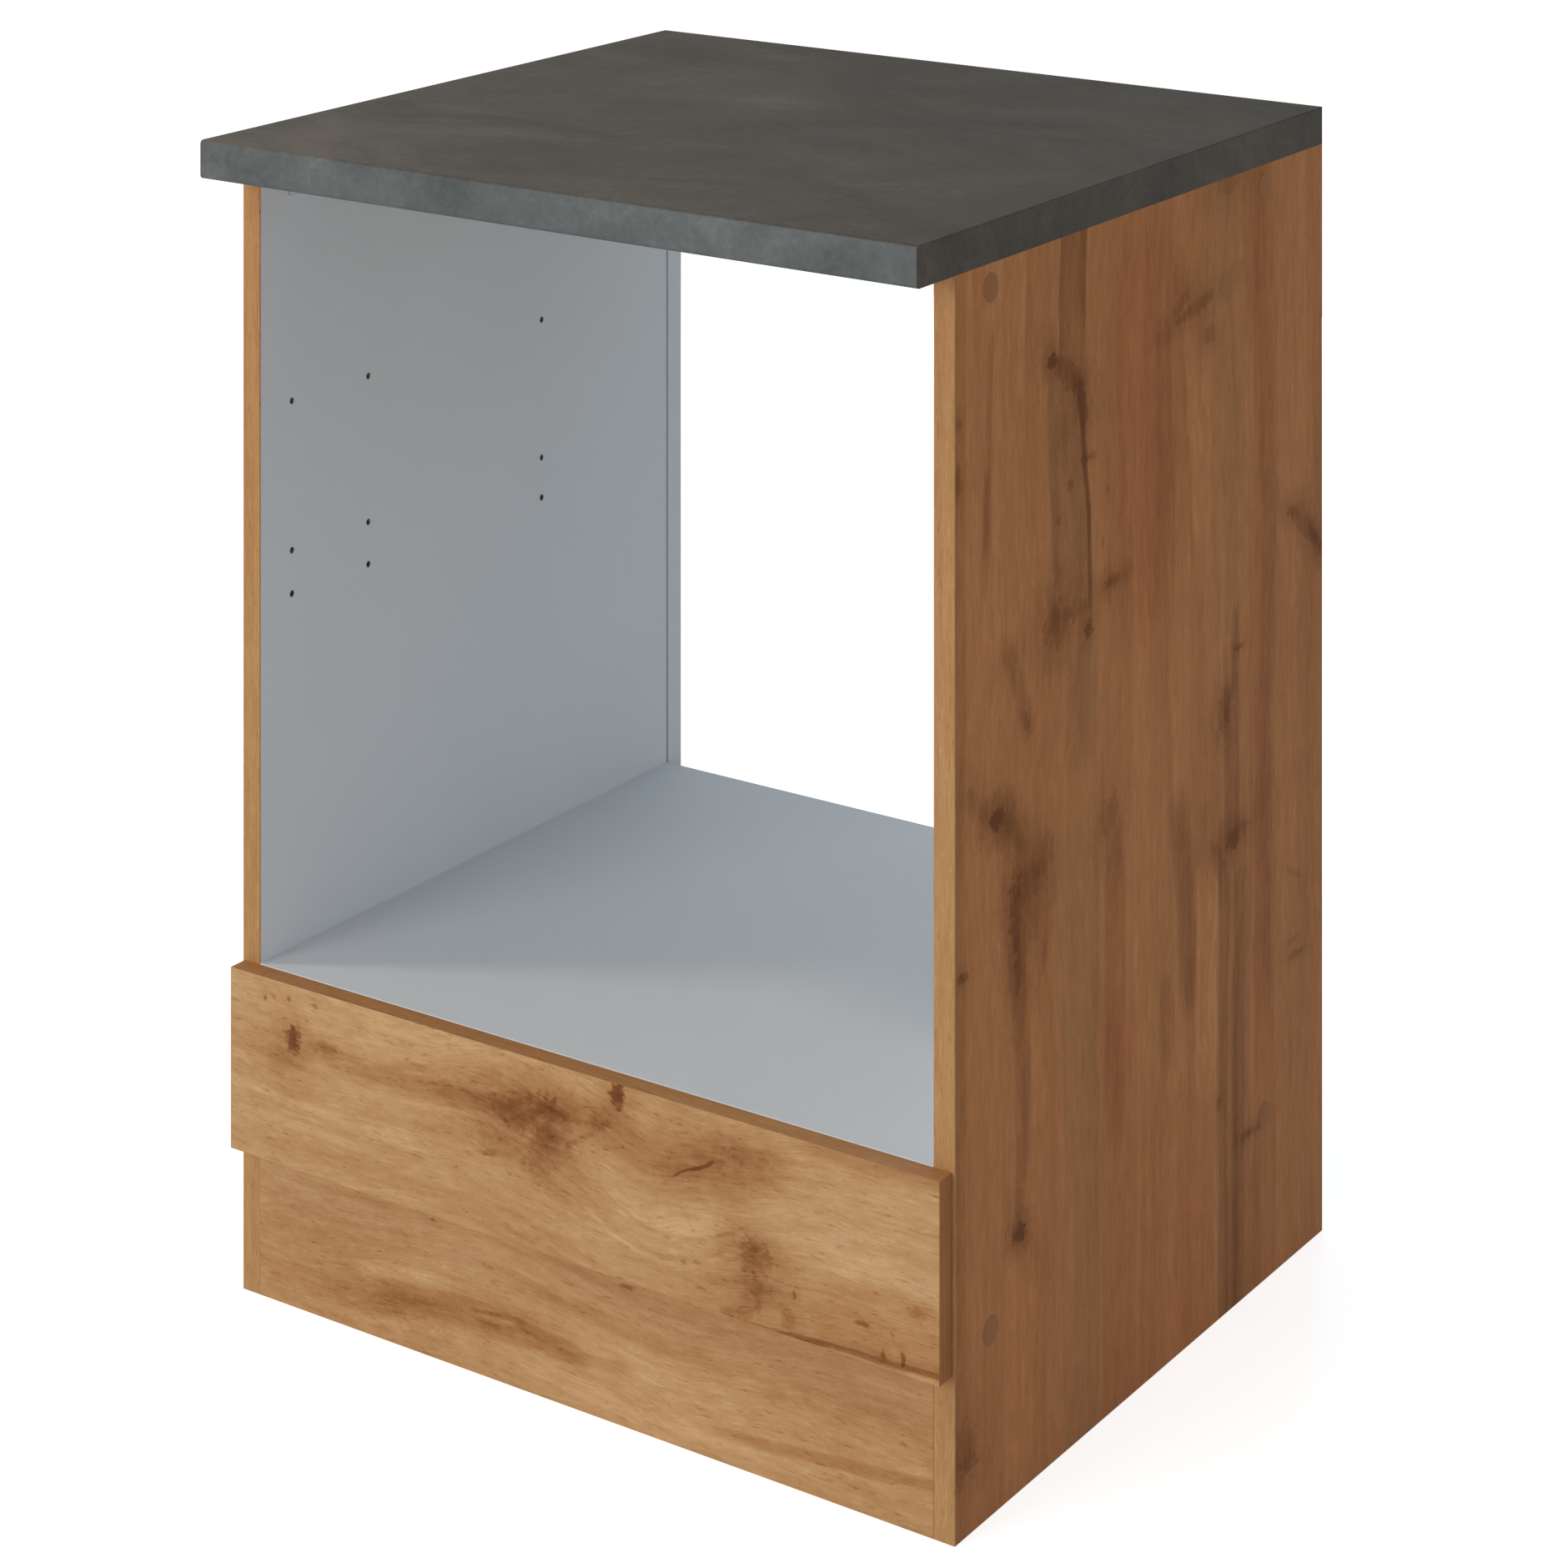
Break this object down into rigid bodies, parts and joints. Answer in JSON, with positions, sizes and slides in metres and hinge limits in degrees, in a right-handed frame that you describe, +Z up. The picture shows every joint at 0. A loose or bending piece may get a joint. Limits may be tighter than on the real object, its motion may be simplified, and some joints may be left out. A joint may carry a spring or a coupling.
{
  "type": "oven base cabinet",
  "caption": "Base cabinet for a built-in oven: open niche under an overhanging worktop, a low drawer on roller runners below it, and sides and plinth down to the floor.",
  "frame": {"origin": "on the floor under the middle of the worktop's footprint", "axes": "+Z up, the front faces -Y, +X to the right as seen from the front"},
  "size_m": [0.6008, 0.6, 0.85],
  "materials": {
    "concrete_laminate": "dark concrete-look laminate, matt, fine texture",
    "chipboard": "raw chipboard edge, sealed",
    "oak_side_decor": "dark oak decor, upright grain, embossed matt",
    "oak_front_decor": "golden oak decor, level grain, embossed matt",
    "oak_edge_band": "oak-coloured edge band, matt",
    "grey_melamine": "light grey melamine facing, matt",
    "grey_edge_band": "light grey edge band, matt",
    "fibreboard": "thin fibreboard, grey face, brown back",
    "zinc_steel": "bright zinc-plated steel",
    "grey_enamel": "light grey powder coat",
    "nylon": "white nylon",
    "screw_zinc": "zinc-plated screws",
    "cam_zinc": "die-cast zinc",
    "beech": "fluted beech dowel",
    "cap_plastic": "brown-grey stick-on cap, matt"
  },
  "bodies": {
    "cabinet": {"worktop_core": "chipboard", "worktop_laminate": "concrete_laminate", "worktop_end_strip_left": "concrete_laminate", "worktop_end_strip_right": "concrete_laminate", "side_board_left": "oak_side_decor", "side_board_right": "oak_side_decor", "side_front_band_left": "oak_edge_band", "side_front_band_right": "oak_edge_band", "bottom_board": "grey_melamine", "bottom_board_band": "grey_edge_band", "oven_shelf": "grey_melamine", "oven_shelf_band": "grey_edge_band", "plinth_board": "oak_front_decor", "plinth_bracket_left": "zinc_steel", "plinth_bracket_right": "zinc_steel", "plinth_bracket_screws": "screw_zinc", "lower_back_panel": "fibreboard", "lower_back_screws": "screw_zinc", "top_rail_front": "zinc_steel", "top_rail_rear": "zinc_steel", "top_rail_bolts": "screw_zinc", "worktop_screws": "screw_zinc", "carcass_screws": "screw_zinc", "cover_caps_left": "cap_plastic", "cover_caps_right": "cap_plastic", "shelf_cams": "cam_zinc", "shelf_cam_bolts": "screw_zinc", "shelf_dowels": "beech", "cabinet_runner_left": "grey_enamel", "cabinet_runner_right": "grey_enamel", "cabinet_runner_screws": "screw_zinc", "cabinet_roller_rivet_left": "zinc_steel", "cabinet_roller_rivet_right": "zinc_steel"},
    "drawer": {"drawer_front": "oak_front_decor", "drawer_front_bands": "oak_edge_band", "drawer_front_screws": "screw_zinc", "drawer_box_front": "grey_melamine", "drawer_box_back": "grey_melamine", "drawer_side_left": "grey_melamine", "drawer_side_right": "grey_melamine", "drawer_bottom": "fibreboard", "drawer_bottom_screws": "screw_zinc", "drawer_corner_screws": "screw_zinc", "drawer_runner_left": "grey_enamel", "drawer_runner_right": "grey_enamel", "drawer_runner_screws": "screw_zinc", "drawer_roller_rivet_left": "zinc_steel", "drawer_roller_rivet_right": "zinc_steel"},
    "front_roller_left": {"cabinet_roller_left": "nylon"},
    "front_roller_right": {"cabinet_roller_right": "nylon"},
    "rear_roller_left": {"drawer_roller_left": "nylon"},
    "rear_roller_right": {"drawer_roller_right": "nylon"}
  },
  "joints": [
    {"name": "drawer_slide", "type": "slide", "parent": "cabinet", "child": "drawer", "axis": [0, -1, 0], "range_m": [0, 0.34]},
    {"name": "front_roller_left_spin", "type": "hinge", "parent": "cabinet", "child": "front_roller_left", "pos_m": [-0.2783, -0.236, 0.1539], "axis": [1, 0, 0], "continuous": true},
    {"name": "front_roller_right_spin", "type": "hinge", "parent": "cabinet", "child": "front_roller_right", "pos_m": [0.2783, -0.236, 0.1539], "axis": [1, 0, 0], "continuous": true},
    {"name": "rear_roller_left_spin", "type": "hinge", "parent": "drawer", "child": "rear_roller_left", "pos_m": [-0.2783, 0.1817, 0.155], "axis": [1, 0, 0], "continuous": true},
    {"name": "rear_roller_right_spin", "type": "hinge", "parent": "drawer", "child": "rear_roller_right", "pos_m": [0.2783, 0.1817, 0.155], "axis": [1, 0, 0], "continuous": true}
  ],
  "couplings": [
    {"joint": "front_roller_left_spin", "follows": "drawer_slide", "rad_per_m": 100},
    {"joint": "front_roller_right_spin", "follows": "drawer_slide", "rad_per_m": 100},
    {"joint": "rear_roller_left_spin", "follows": "drawer_slide", "rad_per_m": 83.333},
    {"joint": "rear_roller_right_spin", "follows": "drawer_slide", "rad_per_m": 83.333}
  ]
}
